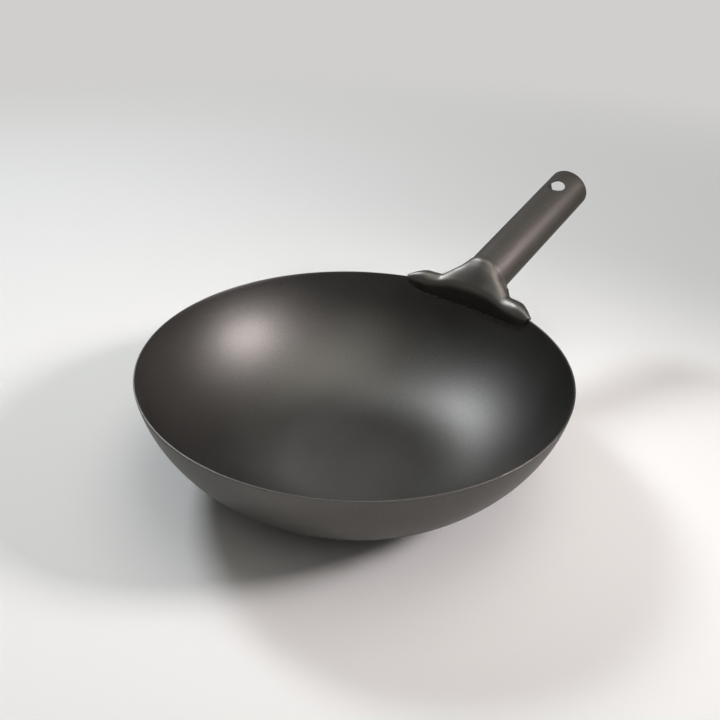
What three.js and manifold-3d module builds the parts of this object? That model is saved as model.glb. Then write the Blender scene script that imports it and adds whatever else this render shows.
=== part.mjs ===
// A one-handed titanium wok: a pressed bowl with a flat base, and a round tube handle on a flared
// root that straddles the rim. Millimetres, +Z up. The origin is the centre of the flat base, on
// the bowl's axis, and the handle runs along +X.

import * as THREE from 'three';
import { mergeVertices } from 'three/addons/utils/BufferGeometryUtils.js';
import Module from 'manifold-3d';

const { degToRad, lerp, smoothstep } = THREE.MathUtils;

// Bowl
const rimDiameter = 280;
const bowlHeight = 80;
const baseDiameter = 84;
const bowlWall = 1.2;
const rimSlope = degToRad(81.8); // of the wall where it meets the rim, from level
const baseEase = 20.5; // length over which the base turns into the wall
const basePull = 51; // reach of the wall curve along the base
const rimPull = 42; // and down from the rim

// Handle tube, with lengths measured along its axis from the point above the rim
const tubeDiameter = 34;
const tubeWall = 1.2;
const tubeRise = degToRad(18.8);
const tubeAboveRim = 3.5;
const tubeReach = 145.5;
const hangHoleDiameter = 14;
const hangHoleFromEnd = 21.7;
const neckBottom = 25.7; // the lower end of the mitre between tube and root

// Root pressings, with heights measured from the rim and angles round the bowl's axis
const rootSheet = 1.2;
const crestBend = 6; // length of the rounded edge on each side of a crest's corners
const foldBend = 4; // and of the fold between end plate and flap
const bendLimit = 0.45; // share of a short leg that a rounded edge may take
const ridgeTurn = degToRad(33); // round the tube, where the straight ridges leave it
const seamTurn = degToRad(117); // round the tube, where upper and lower pressing meet
const flareAngle = degToRad(12.6); // where the ridges reach the wings
const shoulderAngle = degToRad(15); // where the wings start to close down
const wingAngle = degToRad(23); // where the wings end
const crownLeg = 8; // length of the root along the top of the tube
const crownCut = 6; // length taken off each side of the corner at the crown
const ridgeRound = 2.6; // half the width of a ridge's flat before rounding
const wingRound = 3.4; // and of a wing's
const tipRound = 1.4; // and at the wing's end
const wingCrest = 6.6;
const crestShare = 0.25; // of the overhang, where a wing's crest lies
const wingOverhang = 5.6;
const wingSeam = 2;
const wingLeg = 5;
const wingBulge = 0.6; // of the lower pressing, from a straight slope to a square corner
const tipCrest = 2.8;
const tipOverhang = 2.2;
const tipSeam = -1;
const tipLeg = 2.6;
const plateLean = degToRad(17); // of the end plate, outwards from upright
const plateFold = 0.5;
const wingFold = -1;
const foldStandOff = 1.6; // of the flap from the wall, at the fold
const tipStandOff = 1; // and at the wing's end
const flapDepth = 12.3;
const flapOvershoot = degToRad(0.4);
const flankHollow = 1.5; // of the seam between tube and wing, from a straight line
const ridgeAtSeam = 0.6; // share of a ridge that faces the tube's mitre

// Welds and clearances
const seatGap = 0.3;
const flapGap = 0.55; // wider, as flap and wall are both curved
const neckWeldWidth = 2;
const neckWeldCrown = 0.25;
const beadRadius = 1.1;
const beadReach = 0.55; // share of a wing that the seam's bead runs along
const stitchRadius = 0.9;
const stitchCount = 6;
const stitchSpan = degToRad(33);
const stitchShare = 0.8; // of its pitch that a stitch fills

// Facets
const bowlSegments = 80;
const wallSteps = 15;
const tubeSegments = 48;
const holeSegments = 32;
const legSteps = 2;
const bendSteps = 4;
const shellSteps = 6;
const beadSides = 8;
const seamSteps = 8;
const stitchSteps = 5;
const halvings = 40; // of a range, in a search for a point

const rimRadius = rimDiameter / 2;
const rimCrown = bowlWall / 3;
const baseRadius = baseDiameter / 2;
const tubeRadius = tubeDiameter / 2;
const neckHalf = neckWeldWidth / 2;
const flapInset = bowlWall + flapGap + rootSheet;
const seamGap = rootSheet + seatGap;
const legGap = rootSheet + seatGap;

const wasm = await Module();
wasm.setup();

// Geometry helpers

// Turns a closed geometry's faces outwards.
function outward(geometry) {
  const position = geometry.getAttribute('position');
  const index = geometry.getIndex().array;
  const [a, b, c] = [new THREE.Vector3(), new THREE.Vector3(), new THREE.Vector3()];
  let volume = 0;
  for (let i = 0; i < index.length; i += 3) {
    a.fromBufferAttribute(position, index[i]);
    b.fromBufferAttribute(position, index[i + 1]);
    c.fromBufferAttribute(position, index[i + 2]);
    volume += a.dot(b.cross(c));
  }
  if (volume < 0) {
    for (let i = 0; i < index.length; i += 3) {
      [index[i], index[i + 1]] = [index[i + 1], index[i]];
    }
  }
  return geometry;
}

// Skins a row of like sections. An open row is capped by strips across its first and last section.
function loft(sections, closed = false) {
  const count = sections[0].length;
  const index = [];
  const quad = (a, b, c, d) => index.push(a, b, c, a, c, d);
  const rows = closed ? sections.length : sections.length - 1;
  for (let row = 0; row < rows; row++) {
    const here = row * count;
    const next = ((row + 1) % sections.length) * count;
    for (let k = 0; k < count; k++) {
      const step = (k + 1) % count;
      quad(here + k, here + step, next + step, next + k);
    }
  }
  if (!closed) {
    const last = (sections.length - 1) * count;
    for (let k = 0; k < count / 2 - 1; k++) {
      quad(count - 1 - k, count - 2 - k, k + 1, k);
      quad(last + k, last + k + 1, last + count - 2 - k, last + count - 1 - k);
    }
  }
  const geometry = new THREE.BufferGeometry().setFromPoints(sections.flat());
  geometry.setIndex(index);
  return outward(geometry);
}

// Thickens a grid of points into a sheet. The offset runs along (across the rows) x (along a row).
function sheet(rows, offset) {
  const sections = rows.map((row, i) => {
    const before = rows[Math.max(i - 1, 0)];
    const after = rows[Math.min(i + 1, rows.length - 1)];
    const backs = row.map((point, j) => {
      const across = after[j].clone().sub(before[j]);
      const onward = row[Math.min(j + 1, row.length - 1)].clone().sub(row[Math.max(j - 1, 0)]);
      return point.clone().addScaledVector(across.cross(onward).normalize(), offset);
    });
    return [...row, ...backs.reverse()];
  });
  return loft(sections);
}

// A round bead along a row of points.
function bead(points, radius) {
  const path = new THREE.CatmullRomCurve3(points);
  const frames = path.computeFrenetFrames(points.length - 1);
  const sections = frames.normals.map((normal, i) => {
    const centre = path.getPointAt(i / (points.length - 1));
    return Array.from({ length: beadSides }, (_, k) => {
      const turn = (2 * Math.PI * k) / beadSides;
      return centre.clone()
        .addScaledVector(normal, radius * Math.cos(turn))
        .addScaledVector(frames.binormals[i], radius * Math.sin(turn));
    });
  });
  return loft(sections);
}

function mirrored(point) {
  return new THREE.Vector3(point.x, -point.y, point.z);
}

// Rows from the centre line out to +Y become rows right across, from -Y to +Y.
function bothSides(rows) {
  const left = rows.slice(1).reverse().map((row) => row.map(mirrored));
  return [...left, ...rows];
}

function steps(count) {
  return Array.from({ length: count + 1 }, (_, i) => i / count);
}

function toManifold(geometry) {
  const bare = geometry.clone();
  bare.deleteAttribute('normal');
  bare.deleteAttribute('uv');
  const merged = mergeVertices(bare);
  return new wasm.Manifold(new wasm.Mesh({
    numProp: 3,
    vertProperties: Float32Array.from(merged.getAttribute('position').array),
    triVerts: Uint32Array.from(merged.getIndex().array),
  }));
}

function fromManifold(solid) {
  const mesh = solid.getMesh();
  const geometry = new THREE.BufferGeometry();
  geometry.setAttribute('position', new THREE.BufferAttribute(mesh.vertProperties, 3));
  geometry.setIndex(new THREE.BufferAttribute(mesh.triVerts, 1));
  return geometry;
}

// Bowl wall

// A Bezier curve of any degree.
class PullCurve extends THREE.Curve {
  constructor(points) {
    super();
    this.points = points;
  }

  getPoint(t, target = new THREE.Vector2()) {
    let { points } = this;
    while (points.length > 1) {
      points = points.slice(1).map((point, i) => points[i].clone().lerp(point, t));
    }
    return target.copy(points[0]);
  }
}

// The outer face as (radius, height). Three points in line at the base ease it into the wall.
const wallCurve = new PullCurve([
  new THREE.Vector2(baseRadius, 0),
  new THREE.Vector2(baseRadius + baseEase, 0),
  new THREE.Vector2(baseRadius + basePull, 0),
  new THREE.Vector2(rimRadius - rimPull * Math.cos(rimSlope), bowlHeight - rimPull * Math.sin(rimSlope)),
  new THREE.Vector2(rimRadius, bowlHeight),
]);

// A point of the wall's section, `inset` behind the outer face.
function wallPoint(t, inset) {
  const tangent = wallCurve.getTangent(t);
  const inwards = new THREE.Vector2(-tangent.y, tangent.x);
  return wallCurve.getPoint(t).addScaledVector(inwards, inset);
}

// Radius of that face at a height from the rim; above the rim the wall is carried on straight.
function wallRadius(height, inset) {
  const level = bowlHeight + height;
  const end = wallPoint(1, inset);
  if (level >= end.y) {
    return end.x + (level - end.y) / Math.tan(rimSlope);
  }
  let low = 0;
  let high = 1;
  for (let i = 0; i < halvings; i++) {
    const middle = (low + high) / 2;
    if (wallPoint(middle, inset).y < level) {
      low = middle;
    } else {
      high = middle;
    }
  }
  return wallPoint(low, inset).x;
}

function bowlGeometry() {
  const outer = steps(wallSteps).map((t) => wallPoint(t, 0));
  const inner = steps(wallSteps).map((t) => wallPoint(t, bowlWall)).reverse();
  const lip = wallPoint(1, bowlWall / 2).add(wallCurve.getTangent(1).multiplyScalar(rimCrown));
  const section = [
    new THREE.Vector2(0, 0),
    ...outer,
    lip,
    ...inner,
    new THREE.Vector2(0, bowlWall),
  ];
  const geometry = new THREE.LatheGeometry(section, bowlSegments).rotateX(Math.PI / 2);
  geometry.deleteAttribute('normal');
  geometry.deleteAttribute('uv');
  return outward(mergeVertices(geometry));
}

// Handle

// A point on the tube, at a reach along its axis and a turn round it from the top.
function tubePoint(reach, turn, radius = tubeRadius) {
  const [sine, cosine] = [Math.sin(tubeRise), Math.cos(tubeRise)];
  const up = radius * Math.cos(turn);
  return new THREE.Vector3(
    rimRadius + reach * cosine - up * sine,
    radius * Math.sin(turn),
    bowlHeight + tubeAboveRim + reach * sine + up * cosine,
  );
}

// Where the end plate, leaning out from the fold, cuts the tube's own line.
function crestReach(turn) {
  const [sine, cosine, lean] = [Math.sin(tubeRise), Math.cos(tubeRise), Math.tan(plateLean)];
  const up = tubeRadius * Math.cos(turn);
  const foldRadius = wallRadius(plateFold, flapInset + foldStandOff);
  const rise = tubeAboveRim + up * cosine - plateFold;
  return (foldRadius - rimRadius + up * sine + rise * lean) / (cosine - sine * lean);
}

const neckTop = crestReach(0) + crownLeg + neckHalf;

// Reach of the mitre between tube and root.
function neckReach(turn) {
  return lerp(neckTop, neckBottom, (1 - Math.cos(turn)) / 2);
}

function neckPoint(turn) {
  return tubePoint(neckReach(turn) - neckHalf, turn);
}

// The tube lies along its own +X, with the rim crossing at its origin.
function tubeGeometry() {
  const ring = new THREE.Shape().absarc(0, 0, tubeRadius, 0, 2 * Math.PI);
  ring.holes.push(new THREE.Path().absarc(0, 0, tubeRadius - tubeWall, 0, 2 * Math.PI, true));
  const blank = new THREE.ExtrudeGeometry(ring, {
    depth: tubeReach,
    steps: 1,
    curveSegments: tubeSegments / 2,
    bevelEnabled: false,
  }).rotateY(Math.PI / 2);

  // The waste reaches two radii above and below the axis, so its slanted side runs on to there.
  const lean = (neckBottom - neckTop) / 2;
  const middle = (neckTop + neckBottom) / 2 + neckHalf;
  const mitre = new THREE.Shape([
    new THREE.Vector2(middle - 2 * lean, tubeDiameter),
    new THREE.Vector2(-tubeDiameter, tubeDiameter),
    new THREE.Vector2(-tubeDiameter, -tubeDiameter),
    new THREE.Vector2(middle + 2 * lean, -tubeDiameter),
  ]);
  const waste = new THREE.ExtrudeGeometry(mitre, { depth: 2 * tubeDiameter, bevelEnabled: false })
    .translate(0, 0, -tubeDiameter)
    .rotateX(Math.PI / 2);

  const hangHoleRadius = hangHoleDiameter / 2;
  const drill = new THREE.CylinderGeometry(hangHoleRadius, hangHoleRadius, 2 * tubeDiameter, holeSegments)
    .rotateX(Math.PI / 2)
    .translate(tubeReach - hangHoleFromEnd, 0, 0);
  return fromManifold(toManifold(blank).subtract(toManifold(waste)).subtract(toManifold(drill)));
}

// Root

function rimPoint(radius, turn, height) {
  return new THREE.Vector3(radius * Math.cos(turn), radius * Math.sin(turn), bowlHeight + height);
}

// How full a wing is: 1 up to its shoulder, then rounding down to 0 at its end.
function wingFullness(turn) {
  const past = Math.max(0, (turn - shoulderAngle) / (wingAngle - shoulderAngle));
  return Math.max(0, 1 - past * past);
}

function wingTurn(u) {
  return lerp(flareAngle, wingAngle, u);
}

function crestPoint(u) {
  const turn = wingTurn(u);
  const full = wingFullness(turn);
  const overhang = crestShare * lerp(tipOverhang, wingOverhang, full);
  return rimPoint(rimRadius + overhang, turn, lerp(tipCrest, wingCrest, full));
}

function wingEdge(u) {
  const turn = wingTurn(u);
  const full = wingFullness(turn);
  const overhang = lerp(tipOverhang, wingOverhang, full * full);
  return rimPoint(rimRadius + overhang, turn, lerp(tipSeam, wingSeam, full));
}

const ridgeTop = tubePoint(crestReach(ridgeTurn), ridgeTurn);
const ridge = new THREE.LineCurve3(ridgeTop, crestPoint(0));
const flankStart = neckPoint(seamTurn);
const flankEnd = wingEdge(0);
const flankChord = flankEnd.clone().sub(flankStart);
const flankInwards = new THREE.Vector3(-flankChord.y, flankChord.x, 0).normalize();
const flankSeam = new THREE.QuadraticBezierCurve3(
  flankStart,
  flankStart.clone().addScaledVector(flankChord, 0.5).addScaledVector(flankInwards, 2 * flankHollow),
  flankEnd,
);

// The spans of the upper pressing, from the centre line to the end of a wing. Each gives the outer
// edge and the crest at a share u of the span.
const saddleSpans = [
  {
    count: 3,
    edge: (u) => neckPoint(u * ridgeTurn),
    crest: (u) => tubePoint(crestReach(u * ridgeTurn), u * ridgeTurn),
  },
  {
    count: 6,
    edge: (u) => neckPoint(lerp(ridgeTurn, seamTurn, u)),
    crest: (u) => ridge.getPoint(u * ridgeAtSeam),
  },
  {
    count: 5,
    edge: (u) => flankSeam.getPoint(u),
    crest: (u) => ridge.getPoint(lerp(ridgeAtSeam, 1, u)),
  },
  {
    count: 9,
    edge: wingEdge,
    crest: crestPoint,
  },
];

// Calls back at each station of the spans, with the shared stations between two spans once.
function stations(spans, make) {
  return spans.flatMap((span, i) => steps(span.count).slice(i ? 1 : 0).map((u) => make(span, u)));
}

// Points along a line whose corners are rounded over the given lengths, or less where a leg is short.
function foldedRow(corners, bends) {
  const last = corners.length - 1;
  const row = [];
  let start = corners[0];
  for (let i = 1; i < last; i++) {
    const [into, out] = [corners[i - 1], corners[i + 1]].map((end) => {
      const length = corners[i].distanceTo(end);
      return corners[i].clone().lerp(end, Math.min(bends[i - 1], bendLimit * length) / length);
    });
    const leg = new THREE.LineCurve3(start, into);
    const bend = new THREE.QuadraticBezierCurve3(into, corners[i], out);
    row.push(...leg.getPoints(legSteps).slice(0, -1), ...bend.getPoints(bendSteps).slice(0, -1));
    start = out;
  }
  row.push(...new THREE.LineCurve3(start, corners[last]).getPoints(legSteps));
  return row;
}

function flapHeight(turn) {
  return -flapDepth * Math.sqrt(1 - (turn / (wingAngle + flapOvershoot)) ** 3);
}

// Lower edge of the flap, against the inside of the bowl.
function flapPoint(turn) {
  const height = flapHeight(Math.abs(turn));
  return rimPoint(wallRadius(height, flapInset), turn, height);
}

// The two corners that stand for a crest. At the crown they cut its corner off; along the ridges and
// wings they lie half a width on each side of it, on the line that just touches it.
function crestCorners(edge, crest, fold, half) {
  const spread = smoothstep(crest.y, ridgeTop.y / 2, 2 * ridgeTop.y);
  const sides = [edge, fold].map((end) => end.clone().sub(crest));
  const cuts = sides.map((side) => Math.min(crownCut, bendLimit * side.length()));
  sides.forEach((side) => side.normalize());
  const along = sides[0].clone().sub(sides[1]).normalize();
  return [half, -half].map((reach, i) => {
    const cut = crest.clone().addScaledVector(sides[i], cuts[i]);
    return cut.lerp(crest.clone().addScaledVector(along, reach), spread);
  });
}

function saddleGeometry() {
  const rows = stations(saddleSpans, (span, u) => {
    const [edge, crest] = [span.edge(u), span.crest(u)];
    const turn = Math.atan2(crest.y, crest.x);
    const full = wingFullness(turn);
    const winged = smoothstep(turn, flareAngle / 2, shoulderAngle);
    const foldHeight = lerp(plateFold, wingFold, winged);
    const foldInset = flapInset + lerp(tipStandOff, foldStandOff, full);
    const fold = rimPoint(wallRadius(foldHeight, foldInset), turn, foldHeight);
    const half = lerp(ridgeRound, lerp(tipRound, wingRound, full), winged);
    const corners = [edge, ...crestCorners(edge, crest, fold, half), fold, flapPoint(turn)];
    return foldedRow(corners, [crestBend, crestBend, foldBend]);
  });
  return sheet(bothSides(rows), -rootSheet);
}

// Where the tube's own line, carried on past the mitre, meets the outside of the bowl.
function tubeFoot(turn) {
  let low = -rimRadius / 2;
  let high = neckReach(turn) - neckHalf;
  for (let i = 0; i < halvings; i++) {
    const middle = (low + high) / 2;
    const point = tubePoint(middle, turn);
    const clear = Math.hypot(point.x, point.y) - wallRadius(point.z - bowlHeight, -legGap);
    if (clear < 0) {
      low = middle;
    } else {
      high = middle;
    }
  }
  return tubePoint(high, turn);
}

function wallFoot(turn, height) {
  return rimPoint(wallRadius(height, -legGap), turn, height);
}

const lowered = (point) => point.clone().setZ(point.z - seamGap);
const shellTurn = seamTurn + seamGap / tubeRadius;
const sideFoot = tubeFoot(shellTurn);

// The spans of the lower pressing, from the centre line under the tube to the end of a wing. Each
// gives the upper edge, the foot on the bowl and how far the sheet bulges between them.
const shellSpans = [
  {
    count: 6,
    edge: (u) => neckPoint(lerp(Math.PI, shellTurn, u)),
    foot: (u) => tubeFoot(lerp(Math.PI, shellTurn, u)),
    bulge: () => 0,
  },
  {
    count: 5,
    edge: (u) => lowered(flankSeam.getPoint(u)),
    foot: (u) => wallFoot(
      lerp(Math.atan2(sideFoot.y, sideFoot.x), flareAngle, u),
      lerp(sideFoot.z - bowlHeight, -wingLeg, smoothstep(u, 0, 1)),
    ),
    bulge: (u) => wingBulge * u,
  },
  {
    count: 9,
    edge: (u) => lowered(wingEdge(u)),
    foot: (u) => wallFoot(wingTurn(u), -lerp(tipLeg, wingLeg, wingFullness(wingTurn(u)))),
    bulge: () => wingBulge,
  },
];

function shellGeometry() {
  const rows = stations(shellSpans, (span, u) => {
    const [edge, foot] = [span.edge(u), span.foot(u)];
    const corner = new THREE.Vector3(edge.x, edge.y, foot.z);
    const pull = edge.clone().lerp(foot, 0.5).lerp(corner, span.bulge(u));
    return new THREE.QuadraticBezierCurve3(edge, pull, foot).getPoints(shellSteps);
  });
  return sheet(bothSides(rows), rootSheet);
}

// Welds

function neckWeldGeometry() {
  const sections = steps(tubeSegments).slice(1).map((share) => {
    const turn = 2 * Math.PI * share;
    return Array.from({ length: beadSides }, (_, k) => {
      const roll = (2 * Math.PI * k) / beadSides;
      const reach = neckReach(turn) + (neckHalf - seatGap) * Math.cos(roll);
      const thick = tubeWall / 2 + neckWeldCrown;
      return tubePoint(reach, turn, tubeRadius - tubeWall / 2 + thick * Math.sin(roll));
    });
  });
  return loft(sections, true);
}

// Outside the seam of the +Y wing, from beside the tube to the wing's end.
function seamWeldPoints() {
  const flank = steps(seamSteps).slice(1).map((u) => flankSeam.getPoint(u));
  const wing = steps(seamSteps).slice(1).map((u) => wingEdge(u * beadReach));
  const seam = [...flank, ...wing];
  const upright = new THREE.Vector3(0, 0, 1);
  const proud = Math.sqrt((beadRadius + seatGap) ** 2 - (seamGap / 2) ** 2);
  return seam.map((point, i) => {
    const ahead = seam[Math.min(i + 1, seam.length - 1)];
    const behind = seam[Math.max(i - 1, 0)];
    const away = ahead.clone().sub(behind).cross(upright).normalize();
    return point.clone()
      .addScaledVector(away, proud)
      .addScaledVector(upright, -seamGap / 2);
  });
}

// Along the lower pressing's feet, just below them.
function underWeldPoints() {
  const half = stations(shellSpans, (span, u) => [span.foot(u)]);
  const feet = bothSides(half).flat();
  return feet.map((foot, i) => {
    const ahead = feet[Math.min(i + 1, feet.length - 1)];
    const behind = feet[Math.max(i - 1, 0)];
    const off = new THREE.Vector3(foot.x, foot.y, 0).normalize();
    const down = ahead.clone().sub(behind).cross(off).normalize();
    return foot.clone()
      .addScaledVector(off, beadRadius + seatGap - legGap)
      .addScaledVector(down, beadRadius + seatGap);
  });
}

// One stitch of the row under the flap, between two angles.
function stitchPoints(from, to) {
  return steps(stitchSteps).map((u) => {
    const turn = lerp(from, to, u);
    const height = flapHeight(Math.abs(turn)) - seatGap - stitchRadius;
    const radius = wallRadius(height, bowlWall) - seatGap - stitchRadius;
    return rimPoint(radius, turn, height);
  });
}

// Scene graph

const bowlFinish = { color: '#565552', roughness: 0.42, metalness: 0.9 };
const handleFinish = { color: '#6b6764', roughness: 0.38, metalness: 0.9 };
const weldFinish = { color: '#4c4b49', roughness: 0.55, metalness: 0.85 };

function piece(name, geometry, finish) {
  geometry.computeVertexNormals();
  const mesh = new THREE.Mesh(geometry, new THREE.MeshStandardMaterial(finish));
  mesh.name = name;
  return mesh;
}

const wok = new THREE.Group();
wok.add(piece('wok_bowl', bowlGeometry(), bowlFinish));

const handle = new THREE.Group();
handle.position.set(rimRadius, 0, bowlHeight + tubeAboveRim);
handle.rotation.y = -tubeRise;
handle.add(piece('handle_tube', tubeGeometry(), handleFinish));
wok.add(handle);

wok.add(piece('root_saddle', saddleGeometry(), handleFinish));
wok.add(piece('root_shell', shellGeometry(), handleFinish));

wok.add(piece('neck_weld', neckWeldGeometry(), weldFinish));
const seamPoints = seamWeldPoints();
wok.add(piece('seam_weld_left', bead(seamPoints, beadRadius), weldFinish));
wok.add(piece('seam_weld_right', bead(seamPoints.map(mirrored), beadRadius), weldFinish));
wok.add(piece('under_weld', bead(underWeldPoints(), beadRadius), weldFinish));

const stitchPitch = stitchSpan / stitchCount;
for (let i = 0; i < stitchCount; i++) {
  const middle = (i + 0.5) * stitchPitch - stitchSpan / 2;
  const half = (stitchPitch * stitchShare) / 2;
  const points = stitchPoints(middle - half, middle + half);
  wok.add(piece(`flap_weld_${i + 1}`, bead(points, stitchRadius), weldFinish));
}

export default wok;
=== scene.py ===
import math
import bmesh
import bpy
from mathutils import Matrix, Vector


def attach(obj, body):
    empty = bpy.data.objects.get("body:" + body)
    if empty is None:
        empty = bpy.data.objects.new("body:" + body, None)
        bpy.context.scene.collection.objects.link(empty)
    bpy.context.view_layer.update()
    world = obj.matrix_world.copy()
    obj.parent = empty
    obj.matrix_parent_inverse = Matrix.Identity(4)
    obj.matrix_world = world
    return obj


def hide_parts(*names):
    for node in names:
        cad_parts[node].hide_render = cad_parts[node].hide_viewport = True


# A one-handed titanium wok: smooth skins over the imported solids, in metres, +Z up, handle along +X.
# The dictionaries give millimetres and degrees where a note doesn't say otherwise.
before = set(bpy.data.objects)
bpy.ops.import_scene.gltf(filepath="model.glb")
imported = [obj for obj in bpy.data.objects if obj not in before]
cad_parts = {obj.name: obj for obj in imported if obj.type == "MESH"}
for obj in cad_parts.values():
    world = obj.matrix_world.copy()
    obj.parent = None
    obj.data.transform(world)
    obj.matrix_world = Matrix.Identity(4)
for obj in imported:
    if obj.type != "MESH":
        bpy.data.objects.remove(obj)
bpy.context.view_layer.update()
mm = 0.001
upward = Vector((0, 0, 1))
halvings = 40  # steps of a search by halves
bendLimit = 0.45  # largest part of a side that the rounding of its corner may take
print("frame loaded:", len(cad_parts), "nodes")


# sRGB hex to the linear colour that shaders take
def hexColor(code):
    parts = [int(code[i:i + 2], 16) / 255 for i in (1, 3, 5)]
    linear = [c / 12.92 if c <= 0.04045 else ((c + 0.055) / 1.055) ** 2.4 for c in parts]
    return (*linear, 1.0)


# adds a node with its settings; an input is a value, or a socket to link from
def addNode(tree, kind, inputs=None, **settings):
    node = tree.nodes.new(kind)
    for name, value in settings.items():
        setattr(node, name, value)
    for name, value in (inputs or {}).items():
        if isinstance(value, bpy.types.NodeSocket):
            tree.links.new(value, node.inputs[name])
        else:
            node.inputs[name].default_value = value
    return node


def newMaterial(name):
    material = bpy.data.materials.new(name)
    material.use_nodes = True
    material.node_tree.nodes.clear()
    return material, material.node_tree


noiseLow, noiseHigh = 0.3, 0.7  # nearly all of a noise pattern lies between these


# Titanium, pressed and then bead-blasted. The blast leaves a grey satin skin: broad soft highlights that
# break up into a fine grain, with faint cloudy patches. Real grit marks are about 0.15 mm and too fine
# to show in the render, so the grain is drawn at grainSize. A drawn tube keeps a trace of rings round its
# axis, and a look may darken the colour by a mask on the mesh, as painted shade.
def blastedTitanium(name, look):
    material, tree = newMaterial(name)
    place = addNode(tree, "ShaderNodeTexCoord").outputs["Object"]
    grain = addNode(tree, "ShaderNodeTexNoise", {
        "Vector": place, "Scale": 1 / (look["grainSize"] * mm), "Detail": 3.0, "Roughness": 0.6})
    clouds = addNode(tree, "ShaderNodeTexNoise", {
        "Vector": place, "Scale": 1 / (look["cloudSize"] * mm), "Detail": 4.0, "Roughness": 0.55})
    color = addNode(tree, "ShaderNodeMix", {
        0: clouds.outputs["Fac"], 6: hexColor(look["darkTone"]), 7: hexColor(look["paleTone"])},
        data_type="RGBA")
    patterns = [(grain, look["grainTone"])]
    if "ringAxis" in look:
        along = addNode(tree, "ShaderNodeVectorMath", {
            0: place, 1: look["ringAxis"]}, operation="DOT_PRODUCT")
        rings = addNode(tree, "ShaderNodeTexNoise", {
            "W": along.outputs["Value"], "Scale": 1 / (look["ringSize"] * mm), "Detail": 2.0},
            noise_dimensions="1D")
        patterns.append((rings, look["ringTone"]))
    for pattern, depth in patterns:
        tone = addNode(tree, "ShaderNodeMapRange", {
            "Value": pattern.outputs["Fac"], "From Min": noiseLow, "From Max": noiseHigh,
            "To Min": 1 - depth, "To Max": 1 + depth})
        color = addNode(tree, "ShaderNodeMix", {
            0: 1.0, 6: color.outputs[2], 7: tone.outputs["Result"]},
            data_type="RGBA", blend_type="MULTIPLY")
    # painted shade: the colour is darkened where the mesh's mask says
    if "shadeTone" in look:
        shadeMask = addNode(tree, "ShaderNodeAttribute", attribute_name="paintedShade")
        color = addNode(tree, "ShaderNodeMix", {
            0: shadeMask.outputs["Fac"], 6: color.outputs[2], 7: hexColor(look["shadeTone"])},
            data_type="RGBA", blend_type="MULTIPLY")
    gloss = addNode(tree, "ShaderNodeMapRange", {
        "Value": clouds.outputs["Fac"], "From Min": noiseLow, "From Max": noiseHigh,
        "To Min": look["roughness"] - look["roughSpread"],
        "To Max": look["roughness"] + look["roughSpread"]})
    bump = addNode(tree, "ShaderNodeBump", {
        "Strength": look["grainBump"], "Distance": look["grainSize"] * mm / 4,
        "Height": grain.outputs["Fac"]})
    shader = addNode(tree, "ShaderNodeBsdfPrincipled", {
        "Base Color": color.outputs[2], "Metallic": 1.0, "Roughness": gloss.outputs["Result"],
        "Specular Tint": hexColor(look["edgeTone"]), "Normal": bump.outputs["Normal"]})
    addNode(tree, "ShaderNodeOutputMaterial", {"Surface": shader.outputs["BSDF"]})
    print(name, "made")
    return material


# a mesh object at the origin, its points in millimetres
def meshPiece(name, points, faces, material, edges=()):
    mesh = bpy.data.meshes.new(name)
    mesh.from_pydata([Vector(p) * mm for p in points], edges, faces)
    mesh.materials.append(material)
    piece = bpy.data.objects.new(name, mesh)
    bpy.context.scene.collection.objects.link(piece)
    return piece


# gives a face its thickness, behind it, and rounds the edges of the sheet
def thicken(piece, thickness, edgeRound, edgeSteps, sharpFrom):
    wall = piece.modifiers.new("sheet", "SOLIDIFY")
    wall.thickness = thickness * mm
    wall.offset = -1
    edge = piece.modifiers.new("edge round", "BEVEL")
    edge.width = edgeRound * mm
    edge.segments = edgeSteps
    edge.limit_method = "ANGLE"
    edge.angle_limit = math.radians(sharpFrom)


# turns a piece with live modifiers into a plain mesh
def settle(piece, smoothUpTo=40):
    bpy.context.view_layer.update()
    graph = bpy.context.evaluated_depsgraph_get()
    mesh = bpy.data.meshes.new_from_object(piece.evaluated_get(graph))
    piece.modifiers.clear()
    piece.data = mesh
    mesh.shade_smooth()
    mesh.set_sharp_from_angle(angle=math.radians(smoothUpTo))
    return piece


def seat(piece, slot, *nodes):
    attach(piece, "root")
    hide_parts(*nodes)
    print(piece.name, "made:", len(piece.data.polygons), "faces")


# a Geometry Nodes tree with named inputs, given as name: (socket type, value)
def newNodeTree(name, inputs, hasGeometryInput=False):
    tree = bpy.data.node_groups.new(name, "GeometryNodeTree")
    if hasGeometryInput:
        tree.interface.new_socket("Geometry", in_out="INPUT", socket_type="NodeSocketGeometry")
    for label, (kind, _) in inputs.items():
        tree.interface.new_socket(label, in_out="INPUT", socket_type=kind)
    tree.interface.new_socket("Geometry", in_out="OUTPUT", socket_type="NodeSocketGeometry")
    return tree, addNode(tree, "NodeGroupInput").outputs


# ends a tree, puts it on the piece and sets its inputs by their identifiers
def runNodeTree(piece, tree, geometry, inputs, material):
    realized = addNode(tree, "GeometryNodeRealizeInstances", {"Geometry": geometry})
    painted = addNode(tree, "GeometryNodeSetMaterial", {
        "Geometry": realized.outputs["Geometry"], "Material": material})
    addNode(tree, "NodeGroupOutput", {0: painted.outputs["Geometry"]})
    modifier = piece.modifiers.new(tree.name, "NODES")
    modifier.node_group = tree
    sockets = {s.name: s.identifier for s in tree.interface.items_tree if s.in_out == "INPUT"}
    for label, (_, value) in inputs.items():
        modifier[sockets[label]] = value


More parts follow.
